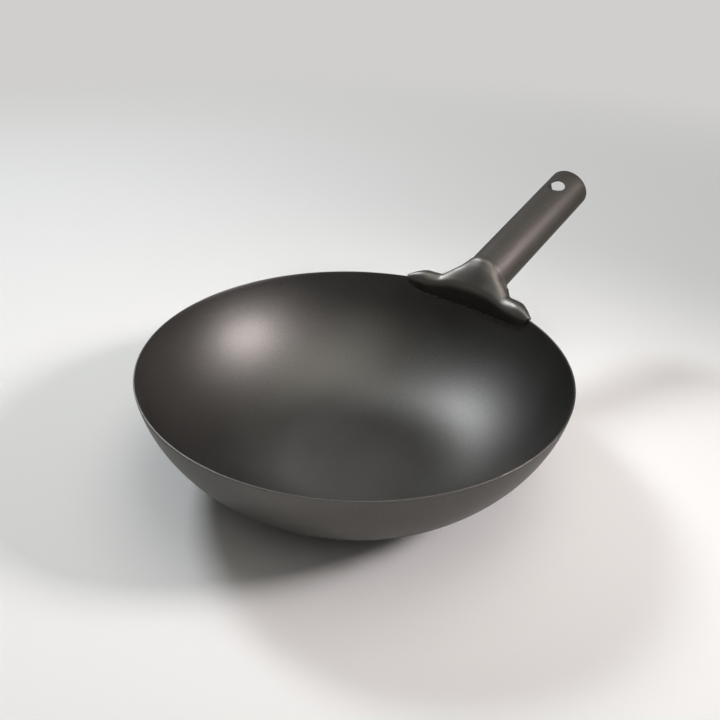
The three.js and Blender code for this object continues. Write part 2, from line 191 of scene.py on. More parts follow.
# Bowl: a flat base and one smooth wall curve, spun round the axis
bowl = {"rimRadius": 140, "height": 80, "baseRadius": 42, "wall": 1.2, "rimSlope": 81.8,
        "baseEase": 20.5, "basePull": 51, "rimPull": 42,
        "segments": 256, "steps": 80, "baseShare": 0.2, "mergeGap": 0.01,
        "rimRound": 0.42, "rimSteps": 3, "sharpFrom": 60}
bowlLook = {"darkTone": "#5c5a57", "paleTone": "#64625f", "edgeTone": "#f2f2f2",
            "roughness": 0.46, "roughSpread": 0.02, "cloudSize": 60,
            "grainSize": 1.1, "grainTone": 0.1, "grainBump": 0.25}
bowlTitanium = blastedTitanium("bead blasted titanium sheet", bowlLook)
rimSlope = math.radians(bowl["rimSlope"])

# control points of the wall's section, as (radius, height); three in a row ease the base into the wall
wallCurve = {
    "Base Edge": Vector((bowl["baseRadius"], 0)),
    "Base Ease": Vector((bowl["baseRadius"] + bowl["baseEase"], 0)),
    "Base Pull": Vector((bowl["baseRadius"] + bowl["basePull"], 0)),
    "Rim Pull": Vector((bowl["rimRadius"] - bowl["rimPull"] * math.cos(rimSlope),
                        bowl["height"] - bowl["rimPull"] * math.sin(rimSlope))),
    "Rim": Vector((bowl["rimRadius"], bowl["height"]))}


def makeBowl():
    inputs = {label: ("NodeSocketVector", (spot.x * mm, 0, spot.y * mm))
              for label, spot in wallCurve.items()}
    inputs["Segments"] = ("NodeSocketInt", bowl["segments"])
    inputs["Steps"] = ("NodeSocketInt", bowl["steps"])
    inputs["Base Share"] = ("NodeSocketFloat", bowl["baseShare"])
    tree, given = newNodeTree("spun bowl", inputs)

    # a unit grid: X becomes the turn round the axis, Y runs from the centre out and up to the rim
    columns = addNode(tree, "ShaderNodeMath", {0: given["Segments"], 1: 1}, operation="ADD").outputs[0]
    grid = addNode(tree, "GeometryNodeMeshGrid", {
        "Size X": 1.0, "Size Y": 1.0, "Vertices X": columns, "Vertices Y": given["Steps"]})
    place = addNode(tree, "GeometryNodeInputPosition").outputs["Position"]
    spot = addNode(tree, "ShaderNodeSeparateXYZ", {"Vector": place}).outputs
    across = addNode(tree, "ShaderNodeMath", {0: spot["Y"], 1: 0.5}, operation="ADD").outputs[0]
    flat = addNode(tree, "ShaderNodeMapRange", {
        "Value": across, "From Min": 0.0, "From Max": given["Base Share"]}).outputs["Result"]
    along = addNode(tree, "ShaderNodeMapRange", {
        "Value": across, "From Min": given["Base Share"], "From Max": 1.0}).outputs["Result"]

    # the wall curve by repeated mixing of its control points
    ring = [given[label] for label in wallCurve]
    while len(ring) > 1:
        ring = [addNode(tree, "ShaderNodeMix", {0: along, 4: a, 5: b}, data_type="VECTOR").outputs[1]
                for a, b in zip(ring, ring[1:])]
    inward = addNode(tree, "ShaderNodeMath", {0: flat, 1: 1.0}, operation="SUBTRACT").outputs[0]
    shift = addNode(tree, "ShaderNodeVectorMath", {
        0: given["Base Edge"], "Scale": inward}, operation="SCALE")
    section = addNode(tree, "ShaderNodeVectorMath", {0: ring[0], 1: shift.outputs[0]}, operation="ADD")
    turn = addNode(tree, "ShaderNodeMath", {0: spot["X"], 1: 2 * math.pi}, operation="MULTIPLY")
    spun = addNode(tree, "ShaderNodeVectorRotate", {
        "Vector": section.outputs[0], "Angle": turn.outputs[0]}, rotation_type="Z_AXIS")
    shaped = addNode(tree, "GeometryNodeSetPosition", {
        "Geometry": grid.outputs["Mesh"], "Position": spun.outputs["Vector"]})
    closed = addNode(tree, "GeometryNodeMergeByDistance", {
        "Geometry": shaped.outputs["Geometry"], "Distance": bowl["mergeGap"] * mm})

    piece = meshPiece("wokBowl", [], [], bowlTitanium)
    runNodeTree(piece, tree, closed.outputs["Geometry"], inputs, bowlTitanium)
    thicken(piece, bowl["wall"], bowl["rimRound"], bowl["rimSteps"], bowl["sharpFrom"])
    settle(piece)
    seat(piece, "bowl_sheet", "wok_bowl")


makeBowl()

# Handle tube, along its own axis from the point above the rim; a rounded edge has its middle at edgeMiddle
# of the rounding from both faces
tube = {"radius": 17, "wall": 1.2, "rise": 18.8, "aboveRim": 3.5, "reach": 145.5,
        "holeRadius": 6.8, "holeFromEnd": 21.7, "holeTurn": -4, "edgeRound": 0.35, "edgeMiddle": 0.3,
        "columns": 96, "bodyRows": 12, "tipRows": 4,
        "patchColumns": 10, "patchReach": 11, "patchRows": 12, "patchRings": 6}
riseAngle = math.radians(tube["rise"])
tubeAxis = Vector((math.cos(riseAngle), 0, math.sin(riseAngle)))
tubeUp = Vector((-math.sin(riseAngle), 0, math.cos(riseAngle)))
tubeStart = Vector((bowl["rimRadius"], 0, bowl["height"] + tube["aboveRim"]))
tubeLook = {"darkTone": "#57534f", "paleTone": "#5f5b56", "edgeTone": "#d6d6d6",
            "roughness": 0.56, "roughSpread": 0.02, "cloudSize": 35,
            "grainSize": 0.9, "grainTone": 0.08, "grainBump": 0.2,
            "ringAxis": tubeAxis, "ringSize": 1.3, "ringTone": 0.08}
tubeTitanium = blastedTitanium("bead blasted titanium tube", tubeLook)


# a point on the tube, at a reach along its axis and a turn round it from the top
def tubePoint(reach, turn, radius=None):
    radius = tube["radius"] if radius is None else radius
    side = Vector((0, radius * math.sin(turn), 0))
    return tubeStart + tubeAxis * reach + tubeUp * (radius * math.cos(turn)) + side


def lerp(a, b, share):
    return a + (b - a) * share


def smoothStep(value, low, high):
    share = min(max((value - low) / (high - low), 0), 1)
    return share * share * (3 - 2 * share)


# a closed mesh whose faces all point out
def closedPiece(name, points, faces, material):
    piece = meshPiece(name, points, faces, material)
    body = bmesh.new()
    body.from_mesh(piece.data)
    bmesh.ops.delete(body, geom=[v for v in body.verts if not v.link_faces], context="VERTS")
    bmesh.ops.recalc_face_normals(body, faces=body.faces)
    body.to_mesh(piece.data)
    body.free()
    return settle(piece)


# rings of the tube run out along the outer wall, round the open end and back along the inner wall; a
# square patch of each wall is left out at the top and the bottom and filled round the hanging hole
def makeTube():
    columns, half = tube["columns"], tube["patchColumns"]
    outer, inner = tube["radius"], tube["radius"] - tube["wall"]
    ease, middle = tube["edgeRound"], tube["edgeMiddle"]
    holeAt = tube["reach"] - tube["holeFromEnd"]
    stops = [holeAt - tube["patchReach"] + 2 * tube["patchReach"] * k / tube["patchRows"]
             for k in range(tube["patchRows"] + 1)]
    stops += [lerp(stops[-1], tube["reach"] - ease, k / tube["tipRows"])
              for k in range(1, tube["tipRows"] + 1)]
    points, faces = [], []

    def turnAt(column):
        return 2 * math.pi * column / columns

    turns = [turnAt(k) for k in range(columns)]

    def addRing(spots):
        points.extend(spots)
        return list(range(len(points) - len(spots), len(points)))

    def bodyRing(share, radius):
        starts = [neckReach(turn) + root["neckWeld"] / 4 for turn in turns]
        return addRing([tubePoint(lerp(start, stops[0], share), turn, radius)
                        for start, turn in zip(starts, turns)])

    def wholeWall(radius):
        rings = [bodyRing(k / tube["bodyRows"], radius) for k in range(tube["bodyRows"])]
        return rings + [addRing([tubePoint(stop, turn, radius) for turn in turns]) for stop in stops]

    # the lip at the open end, as (share back from the end, share into the wall, wall, way in)
    lip = [(middle, middle, outer, -1), (0, 1, outer, -1), (0, 1, inner, 1), (middle, middle, inner, 1)]
    outerRings, innerRings = wholeWall(outer), wholeWall(inner)
    lipRings = [addRing([tubePoint(tube["reach"] - back * ease, turn, wall + way * sink * ease)
                         for turn in turns])
                for back, sink, wall, way in lip]
    rings = outerRings + lipRings + innerRings[::-1]
    firstRow, lastRow = tube["bodyRows"], tube["bodyRows"] + tube["patchRows"]
    inPatch = {(k + side) % columns for side in (0, columns // 2) for k in range(-half, half)}

    for i, (here, there) in enumerate(zip(rings, rings[1:] + rings[:1])):
        row = i if i < len(outerRings) else len(rings) - 2 - i
        for k in range(columns):
            if firstRow <= row < lastRow and k in inPatch:
                continue
            n = (k + 1) % columns
            faces.append((here[k], here[n], there[n], there[k]))

    # the edge of a patch, once round, as (row, column) and as (reach, turn)
    edgeCells = [(firstRow, k) for k in range(-half, half)]
    edgeCells += [(row, half) for row in range(firstRow, lastRow)]
    edgeCells += [(lastRow, k) for k in range(half, -half, -1)]
    edgeCells += [(row, -half) for row in range(lastRow, firstRow, -1)]
    edgeSpots = [(stops[row - firstRow], turnAt(k)) for row, k in edgeCells]
    bearings = [math.atan2(turn * columns / half, (reach - holeAt) * 2 * math.pi / tube["patchReach"])
                for reach, turn in edgeSpots]

    def holeSpot(bearing, size, radius):
        turn = math.asin(size * math.sin(bearing) / radius)
        return holeAt + size * math.cos(bearing), turn + math.radians(tube["holeTurn"])

    def addLoop(spots, radius, side):
        return addRing([tubePoint(reach, turnAt(side) + turn, radius) for reach, turn in spots])

    def band(before, after):
        for k in range(len(before)):
            n = (k + 1) % len(before)
            faces.append((before[k], before[n], after[n], after[k]))

    for side in (0, columns // 2):
        mouths = []
        for wallRings, radius, way in ((outerRings, outer, -1), (innerRings, inner, 1)):
            loops = [[wallRings[row][(k + side) % columns] for row, k in edgeCells]]
            near = [holeSpot(b, tube["holeRadius"] + ease, radius) for b in bearings]
            for k in range(1, tube["patchRings"] + 1):
                share = k / tube["patchRings"]
                spots = [(lerp(far[0], close[0], share), lerp(far[1], close[1], share))
                         for far, close in zip(edgeSpots, near)]
                loops.append(addLoop(spots, radius, side))
            for grow, sink in ((middle, middle), (0, 1)):
                depth = radius + way * sink * ease
                spots = [holeSpot(b, tube["holeRadius"] + grow * ease, depth) for b in bearings]
                loops.append(addLoop(spots, depth, side))
            for before, after in zip(loops, loops[1:]):
                band(before, after)
            mouths.append(loops[-1])
        band(*mouths)

    piece = closedPiece("handleTube", points, faces, tubeTitanium)
    seat(piece, "handle_sheet", "handle_tube")


# Root pressings: angles are round the bowl's axis, turns are round the tube, heights are from the rim
root = {"sheet": 1.2, "seatGap": 0.3, "edgeRound": 0.3, "edgeSteps": 2, "sharpFrom": 55, "smoothUpTo": 50,
        # end plate, from the fold over the rim up to its crown on the tube
        "plateLean": 27, "plateFold": 4.2, "foldStandOff": 3.2, "foldBend": 4, "crownLeg": 6,
        "crownCut": 6, "crownRound": 1.6, "crestBend": 9, "crestTouch": 0.9,
        # ridges from the crown down to the wings, with a small step where they meet
        "ridgeTurn": 34, "ridgeBack": 3.2, "ridgeCurve": 1.5, "ridgeRound": 2, "ridgeAtSeam": 0.6,
        "jointOut": 1.8, "jointDrop": 1, "jointFade": 0.6,
        # flanks, with a valley round the neck
        "seamTurn": 117, "flareAngle": 11.9, "flankHollow": 0.3, "neckValley": 0.7, "valleyFrom": 20,
        "valleyTo": 36, "valleyBend": 6,
        # wings over the rim and their ends
        "shoulderAngle": 17, "wingAngle": 22.9, "wingTaper": 1.5, "wingCrest": 5.9, "wingFold": 0.2,
        "crestShare": 0.25, "wingOverhang": 4.2, "wingSeam": 2, "wingLeg": 5, "wingBulge": 0.6,
        "wingRound": 3.4, "tipCrest": 0.5, "tipOverhang": 0.2, "tipSeam": 0, "tipSink": 1.3, "tipLeg": 2.6,
        "tipRound": 0.8, "tipStandOff": -1.2,
        # flap inside the bowl
        "flapDepth": 10.4, "flapOvershoot": 0.1, "flapSquare": 3,
        # the tube's mitred end
        "neckSide": 16.3, "neckBottom": 25.7, "neckTurn": 60, "neckWeld": 2,
        # painted shade: how far below the fold and how near the neck the pressing is darkened
        "shadeFrom": -3, "shadeTo": 1.5, "neckShade": 12, "neckShadeShare": 0.6,
        # fineness of the meshes
        "rowPoints": 56, "shellPoints": 16, "spanSteps": (10, 16, 14, 30), "bendSteps": 8,
        "bulgeSteps": 24, "softening": 6}
# the pressing's tones are lighter than the tube's and the bowl's: painted light for the end plate and its
# ridges
rootPaintedLightLook = {"darkTone": "#75716c", "paleTone": "#7e7a74", "edgeTone": "#d6d6d6", "shadeTone": "#c6c6c6",
            "roughness": 0.45, "roughSpread": 0.02, "cloudSize": 35,
            "grainSize": 0.9, "grainTone": 0.08, "grainBump": 0.2}
rootPaintedLightTitanium = blastedTitanium("bead blasted titanium pressing, painted light", rootPaintedLightLook)
angle = {name: math.radians(root[name]) for name in (
    "ridgeTurn", "seamTurn", "neckTurn", "flareAngle", "shoulderAngle", "wingAngle", "plateLean",
    "flapOvershoot")}
flapInset = bowl["wall"] + root["seatGap"] + root["sheet"]
sheetGap = root["sheet"] + root["seatGap"]


# a point of the bowl's wall section as (radius, height), behind the outer face by inset
def wallPoint(t, inset):
    points = list(wallCurve.values())
    while len(points) > 2:
        points = [a.lerp(b, t) for a, b in zip(points, points[1:])]
    tangent = (points[1] - points[0]).normalized()
    return points[0].lerp(points[1], t) + Vector((-tangent.y, tangent.x)) * inset


# radius of that face at a height from the rim; above the rim the wall is carried on straight
def wallRadius(height, inset):
    level = bowl["height"] + height
    end = wallPoint(1, inset)
    if level >= end.y:
        return end.x + (level - end.y) / math.tan(rimSlope)
    low, high = 0.0, 1.0
    for _ in range(halvings):
        middle = (low + high) / 2
        if wallPoint(middle, inset).y < level:
            low = middle
        else:
            high = middle
    return wallPoint(low, inset).x


def rimPoint(radius, turn, height):
    return Vector((radius * math.cos(turn), radius * math.sin(turn), bowl["height"] + height))


# where the end plate, leaning out from the fold, cuts the tube's own line
def crestReach(turn):
    up = tube["radius"] * math.cos(turn)
    lean = math.tan(angle["plateLean"])
    foldRadius = wallRadius(root["plateFold"], flapInset + root["foldStandOff"])
    rise = tube["aboveRim"] + up * math.cos(riseAngle) - root["plateFold"]
    run = foldRadius - bowl["rimRadius"] + up * math.sin(riseAngle) + rise * lean
    return run / (math.cos(riseAngle) - math.sin(riseAngle) * lean)


neckTop = crestReach(0) + root["crownLeg"] + root["neckWeld"] / 2


# the tube's mitred end: square across its top, nearest the bowl at its sides and set back below
def neckReach(turn):
    fromTop = math.pi - abs(math.pi - turn % (2 * math.pi))
    side = lerp(neckTop, root["neckSide"], smoothStep(fromTop, 0, angle["neckTurn"]))
    return lerp(side, root["neckBottom"], smoothStep(fromTop, angle["neckTurn"], math.pi))


def neckPoint(turn):
    return tubePoint(neckReach(turn) - root["neckWeld"] / 2, turn)


# 1 up to the wing's shoulder, then rounding down to 0 at its end
def wingFullness(turn):
    past = max(0, (turn - angle["shoulderAngle"]) / (angle["wingAngle"] - angle["shoulderAngle"]))
    return max(0, 1 - past ** root["wingTaper"])


# 0 on the end plate, growing to 1 at the wing's shoulder
def wingShare(turn):
    return smoothStep(abs(turn), angle["flareAngle"] / 2, angle["shoulderAngle"])


def wingTurn(u):
    return lerp(angle["flareAngle"], angle["wingAngle"], u)


def wingCrest(u):
    turn = wingTurn(u)
    full = wingFullness(turn)
    overhang = root["crestShare"] * lerp(root["tipOverhang"], root["wingOverhang"], full)
    joint = 1 - smoothStep(u, 0, root["jointFade"])
    height = lerp(root["tipCrest"], root["wingCrest"], full) - joint * root["jointDrop"]
    return rimPoint(bowl["rimRadius"] + overhang + joint * root["jointOut"], turn, height)


def wingEdge(u):
    turn = wingTurn(u)
    full = wingFullness(turn)
    overhang = lerp(root["tipOverhang"], root["wingOverhang"], full * full)
    return rimPoint(bowl["rimRadius"] + overhang, turn, lerp(root["tipSeam"], root["wingSeam"], full))


# the end plate's upper edge, round the tube's own line and set back towards the ridges
def crown(u):
    turn = u * angle["ridgeTurn"]
    return tubePoint(crestReach(turn) + root["ridgeBack"] * u ** root["ridgeCurve"], turn)


ridgeTop = crown(1)
flankTop = neckPoint(angle["seamTurn"])


def ridge(u):
    return ridgeTop.lerp(wingCrest(0), u)


def flankSeam(u):
    end = wingEdge(0)
    chord = end - flankTop
    hollow = Vector((-chord.y, chord.x, 0)).normalized() * 2 * root["flankHollow"]
    pull = flankTop.lerp(end, 0.5) + hollow
    return flankTop.lerp(pull, u).lerp(pull.lerp(end, u), u)


def flapEdge(turn):
    share = abs(turn) / (angle["wingAngle"] + angle["flapOvershoot"])
    height = -root["flapDepth"] * math.sqrt(1 - share ** root["flapSquare"])
    sink = lerp(root["tipSink"], 0, wingFullness(abs(turn)))
    return rimPoint(wallRadius(height, flapInset - sink), turn, height)


# the upper pressing's edge and crest at a share of each span, from the centre line to a wing's end
saddleSpans = [
    (lambda u: neckPoint(u * angle["ridgeTurn"]), crown),
    (lambda u: neckPoint(lerp(angle["ridgeTurn"], angle["seamTurn"], u)),
     lambda u: ridge(u * root["ridgeAtSeam"])),
    (flankSeam, lambda u: ridge(lerp(root["ridgeAtSeam"], 1, u))),
    (wingEdge, wingCrest)]


def stations(spans):
    for i, (span, count) in enumerate(zip(spans, root["spanSteps"][-len(spans):])):
        for k in range(1 if i else 0, count + 1):
            yield span, k / count


# points of the curve from one end to the other that a third point pulls towards itself
def pulledCurve(start, pull, end, steps):
    return [start.lerp(pull, k / steps).lerp(pull.lerp(end, k / steps), k / steps)
            for k in range(steps + 1)]


# a line through corners that are rounded over the given lengths, sampled evenly
def foldedRow(corners, bends, count):
    line = [corners[0]]
    for before, corner, after, bend in zip(corners, corners[1:], corners[2:], bends):
        into, out = [corner.lerp(end, min(bend, bendLimit * (end - corner).length) / (end - corner).length)
                     for end in (before, after)]
        line += pulledCurve(into, corner, out, root["bendSteps"])
    line.append(corners[-1])
    return evenly(line, count)


# a polyline sampled again at even steps
def evenly(line, count):
    lengths = [0]
    for a, b in zip(line, line[1:]):
        lengths.append(lengths[-1] + (b - a).length)
    row, k = [], 0
    for i in range(count):
        want = lengths[-1] * i / (count - 1)
        while k < len(line) - 2 and lengths[k + 1] < want:
            k += 1
        gap = lengths[k + 1] - lengths[k]
        row.append(line[k].lerp(line[k + 1], (want - lengths[k]) / gap if gap else 0))
    return row


def mirrored(point):
    return Vector((point.x, -point.y, point.z))


# rows from the centre line out become rows right across
def bothSides(rows):
    return [[mirrored(p) for p in row] for row in reversed(rows[1:])] + rows


# each point moves half of the way to the middle of its neighbours in the rows beside it
def softened(lines, rounds):
    for _ in range(rounds):
        lines = [lines[0]] + [
            [b.lerp((a + c) / 2, 0.5) for a, b, c in zip(before, here, after)]
            for before, here, after in zip(lines, lines[1:], lines[2:])] + [lines[-1]]
    return lines


# a pressing from a grid of rows across its face
def pressing(name, rows):
    count = len(rows[0])
    points = [p for row in rows for p in row]
    faces = [(r * count + k, r * count + k + 1, (r + 1) * count + k + 1, (r + 1) * count + k)
             for r in range(len(rows) - 1) for k in range(count - 1)]
    piece = meshPiece(name, points, faces, rootPaintedLightTitanium)
    thicken(piece, root["sheet"], root["edgeRound"], root["edgeSteps"], root["sharpFrom"])
    return settle(piece, root["smoothUpTo"])


# height of the fold between the end plate and the flap, which drops to the rim along the wings
def foldHeight(turn):
    return lerp(root["plateFold"], root["wingFold"], wingShare(turn))


# painted shade: darkens the flap below the fold, and near the neck dims the crown's highlight towards the
# tube's tone
def paintedShade(point):
    turn = math.atan2(point.y, point.x)
    above = point.z - bowl["height"] - foldHeight(turn)
    inMiddle = 1 - smoothStep(abs(turn), angle["flareAngle"] / 2, angle["wingAngle"])
    flap = inMiddle * (1 - smoothStep(above, root["shadeFrom"], root["shadeTo"]))
    along = point - tubeStart
    up = along.dot(tubeUp)
    toNeck = neckReach(math.atan2(point.y, up)) - along.dot(tubeAxis)
    onTube = smoothStep(math.hypot(point.y, up), tube["radius"] + root["neckShade"], tube["radius"])
    neck = root["neckShadeShare"] * onTube * smoothStep(toNeck, root["neckShade"], 0)
    return max(flap, neck)


# draws a point of the flank in towards the tube's own line, so a valley runs round the neck
def drawnIn(point):
    along = point - tubeStart
    reach = along.dot(tubeAxis)
    off = along - tubeAxis * reach
    share = root["neckValley"] * smoothStep(off.length, root["valleyTo"], root["valleyFrom"])
    return tubeStart + tubeAxis * reach + off * (lerp(off.length, tube["radius"], share) / off.length)


# each line of the upper pressing runs from its seam over the crest and the fold to the flap's edge
def makeSaddle():
    lines = []
    for (edge, crest), u in stations(saddleSpans):
        low, top = edge(u), crest(u)
        turn = math.atan2(top.y, top.x)
        full = wingFullness(turn)
        height = foldHeight(turn)
        standOff = lerp(root["tipStandOff"], root["foldStandOff"], full)
        fold = rimPoint(wallRadius(height, flapInset + standOff), turn, height)

        # the crest's two shoulders: cut back along both faces at the crown, close to the crest elsewhere
        downRidge = smoothStep(top.y, ridgeTop.y, wingCrest(0).y)
        plateHalf = lerp(root["crownRound"], root["ridgeRound"], downRidge)
        wingHalf = lerp(root["tipRound"], root["wingRound"], full)
        half = lerp(plateHalf, wingHalf, wingShare(turn))
        sides = [(end - top).normalized() for end in (low, fold)]
        cuts = [min(root["crownCut"], bendLimit * (end - top).length) for end in (low, fold)]
        along = (sides[0] - sides[1]).normalized()
        touch = root["crestTouch"] * smoothStep(top.y, ridgeTop.y / 2, 2 * ridgeTop.y)
        shoulders = [(top + side * cut).lerp(top + along * off, touch)
                     for side, cut, off in zip(sides, cuts, (half, -half))]
        valley = drawnIn(low.lerp(shoulders[0], 0.5))
        lines.append([low, valley, *shoulders, fold, flapEdge(turn)])
    lines = softened(bothSides(lines), root["softening"])
    bends = (root["valleyBend"], root["crestBend"], root["crestBend"], root["foldBend"])
    piece = pressing("rootSaddle", [foldedRow(corners, bends, root["rowPoints"]) for corners in lines])
    shadeMask = piece.data.attributes.new("paintedShade", "FLOAT", "POINT")
    shadeMask.data.foreach_set("value", [paintedShade(v.co / mm) for v in piece.data.vertices])
    seat(piece, "handle_sheet", "root_saddle")


makeSaddle()
makeTube()  # its mitred end follows the root's neck


# where the tube's own line, carried on past the mitre, meets the outside of the bowl
def tubeFoot(turn):
    low, high = -bowl["rimRadius"] / 2, neckReach(turn) - root["neckWeld"] / 2
    for _ in range(halvings):
        middle = (low + high) / 2
        spot = tubePoint(middle, turn)
        if math.hypot(spot.x, spot.y) < wallRadius(spot.z - bowl["height"], -sheetGap):
            low = middle
        else:
            high = middle
    return tubePoint(high, turn)


def wallFoot(turn, height):
    return rimPoint(wallRadius(height, -sheetGap), turn, height)


def lowered(point):
    return point - upward * sheetGap


shellTurn = angle["seamTurn"] + sheetGap / tube["radius"]
sideFoot = tubeFoot(shellTurn)
sideTurn = math.atan2(sideFoot.y, sideFoot.x)

# the lower pressing's upper edge, its foot on the bowl and its bulge, from under the tube to a wing's end
shellSpans = [
    (lambda u: neckPoint(lerp(math.pi, shellTurn, u)),
     lambda u: tubeFoot(lerp(math.pi, shellTurn, u)),
     lambda u: 0),
    (lambda u: lowered(flankSeam(u)),
     lambda u: wallFoot(lerp(sideTurn, angle["flareAngle"], u),
                        lerp(sideFoot.z - bowl["height"], -root["wingLeg"], smoothStep(u, 0, 1))),
     lambda u: root["wingBulge"] * u),
    (lambda u: lowered(wingEdge(u)),
     lambda u: wallFoot(wingTurn(u), -lerp(root["tipLeg"], root["wingLeg"], wingFullness(wingTurn(u)))),
     lambda u: root["wingBulge"])]


def makeShell():
    rows = []
    for (edge, foot, bulge), u in stations(shellSpans):
        top, low = edge(u), foot(u)
        corner = Vector((top.x, top.y, low.z))
        pull = top.lerp(low, 0.5).lerp(corner, bulge(u))
        rows.append(evenly(pulledCurve(top, pull, low, root["bulgeSteps"]), root["shellPoints"]))
    piece = pressing("rootShell", [row[::-1] for row in bothSides(rows)])
    seat(piece, "handle_sheet", "root_shell")


makeShell()

# Welds: round beads with the ripples that a torch leaves, along the edges of the root, short stitches
# under the flap, paler than the metal as a painted highlight of its lit edge, and a ring between root and
# tube ground nearly flush
weld = {"beadRadius": 1.1, "beadReach": 0.55, "beadSides": 12, "smoothUpTo": 60, "pitch": 1.5,
        "pitchSteps": 6, "ripple": 0.16, "lump": 0.15, "lumpSize": 4.5, "taper": 2.5, "endShare": 0.15,
        "seed": 3.0, "seamSteps": 16,
        "stitchRadius": 0.55, "stitchDrift": 0.7, "stitchCount": 6, "stitchSpan": 33, "stitchShare": 0.92,
        "stitchSteps": 8,
        "neckShare": 0.62, "neckProud": 0.02, "neckSides": 10}
weldLook = {"darkTone": "#484642", "paleTone": "#58554f", "edgeTone": "#d6d6d6",
            "roughness": 0.5, "roughSpread": 0.05, "cloudSize": 6,
            "grainSize": 0.8, "grainTone": 0.15, "grainBump": 0.35}
# the stitches' pale tones are a painted highlight along the flap's lower edge
stitchHighlightLook = {"darkTone": "#8f8b85", "paleTone": "#a39f98", "edgeTone": "#d6d6d6",
              "roughness": 0.42, "roughSpread": 0.05, "cloudSize": 6,
              "grainSize": 0.8, "grainTone": 0.15, "grainBump": 0.3}
weldTitanium = blastedTitanium("blasted titanium weld", weldLook)
stitchHighlightTitanium = blastedTitanium("pale titanium stitch, painted highlight", stitchHighlightLook)


# sweeps a bead along each line, given as a list of points
def makeBeads(name, lines, radius, material, *nodes):
    points, edges = [], []
    for line in lines:
        edges += [(len(points) + k, len(points) + k + 1) for k in range(len(line) - 1)]
        points += line
    piece = meshPiece(name, points, [], material, edges)
    sizes = {"Radius": radius * mm, "Pitch": weld["pitch"] * mm, "Ripple": weld["ripple"],
             "Taper": weld["taper"] * mm, "Seed": weld["seed"]}
    inputs = {label: ("NodeSocketFloat", size) for label, size in sizes.items()}
    tree, given = newNodeTree("weld bead", inputs, True)

    path = addNode(tree, "GeometryNodeMeshToCurve", {"Mesh": given["Geometry"]})
    step = addNode(tree, "ShaderNodeMath", {
        0: given["Pitch"], 1: weld["pitchSteps"]}, operation="DIVIDE")
    fine = addNode(tree, "GeometryNodeResampleCurve", {
        "Curve": path.outputs["Curve"], "Length": step.outputs[0]}, mode="LENGTH")
    along = addNode(tree, "GeometryNodeSplineParameter").outputs["Length"]
    whole = addNode(tree, "GeometryNodeSplineLength").outputs["Length"]

    # ripples, one for each pitch, and a little uneven
    passed = addNode(tree, "ShaderNodeMath", {0: along, 1: given["Pitch"]}, operation="DIVIDE")
    wave = addNode(tree, "ShaderNodeMath", {0: passed.outputs[0], 1: math.pi}, operation="MULTIPLY")
    swing = addNode(tree, "ShaderNodeMath", {0: wave.outputs[0]}, operation="SINE")
    scallop = addNode(tree, "ShaderNodeMath", {0: swing.outputs[0]}, operation="ABSOLUTE")
    dip = addNode(tree, "ShaderNodeMath", {0: 1.0, 1: given["Ripple"]}, operation="SUBTRACT")
    rippled = addNode(tree, "ShaderNodeMapRange", {
        "Value": scallop.outputs[0], "To Min": dip.outputs[0], "To Max": 1.0})
    uneven = addNode(tree, "ShaderNodeTexNoise", {
        "W": given["Seed"], "Scale": 1 / (weld["lumpSize"] * mm), "Detail": 1.0}, noise_dimensions="4D")
    lumps = addNode(tree, "ShaderNodeMapRange", {
        "Value": uneven.outputs["Fac"], "To Min": 1 - weld["lump"], "To Max": 1 + weld["lump"]})

    # ends that round off over the taper
    left = addNode(tree, "ShaderNodeMath", {0: whole, 1: along}, operation="SUBTRACT")
    fromEnd = addNode(tree, "ShaderNodeMath", {0: along, 1: left.outputs[0]}, operation="MINIMUM")
    opening = addNode(tree, "ShaderNodeMapRange", {
        "Value": fromEnd.outputs[0], "From Max": given["Taper"], "To Max": math.pi / 2})
    opened = addNode(tree, "ShaderNodeMath", {0: opening.outputs["Result"]}, operation="SINE")
    rounded = addNode(tree, "ShaderNodeMapRange", {
        "Value": opened.outputs[0], "To Min": weld["endShare"], "To Max": 1.0})

    size = given["Radius"]
    for share in (rippled, lumps, rounded):
        size = addNode(tree, "ShaderNodeMath", {
            0: size, 1: share.outputs["Result"]}, operation="MULTIPLY").outputs[0]
    section = addNode(tree, "GeometryNodeCurvePrimitiveCircle", {
        "Resolution": weld["beadSides"], "Radius": 1.0})
    bead = addNode(tree, "GeometryNodeCurveToMesh", {
        "Curve": fine.outputs["Curve"], "Profile Curve": section.outputs["Curve"],
        "Scale": size, "Fill Caps": True})
    runNodeTree(piece, tree, bead.outputs["Mesh"], inputs, material)
    settle(piece, weld["smoothUpTo"])
    seat(piece, "weld_metal", *nodes)


# the direction of a line at each of its points
def headings(line):
    return [after - before for before, after in zip(line[:1] + line[:-1], line[1:] + line[-1:])]


# outside the seam of the +Y wing, from beside the tube out along the wing
def seamLine():
    shares = [k / weld["seamSteps"] for k in range(1, weld["seamSteps"] + 1)]
    seam = [flankSeam(u) for u in shares] + [wingEdge(weld["beadReach"] * u) for u in shares]
    proud = math.sqrt((weld["beadRadius"] + root["seatGap"]) ** 2 - (sheetGap / 2) ** 2)
    return [spot + heading.cross(upward).normalized() * proud - upward * (sheetGap / 2)
            for spot, heading in zip(seam, headings(seam))]


# along the lower pressing's feet, just below them
def underLine():
    feet = bothSides([[foot(u)] for (_, foot, _), u in stations(shellSpans)])
    feet = [row[0] for row in feet]
    reach = weld["beadRadius"] + root["seatGap"]
    line = []
    for foot, heading in zip(feet, headings(feet)):
        off = Vector((foot.x, foot.y, 0)).normalized()
        down = heading.cross(off).normalized()
        line.append(foot + off * (reach - sheetGap) + down * reach)
    return line


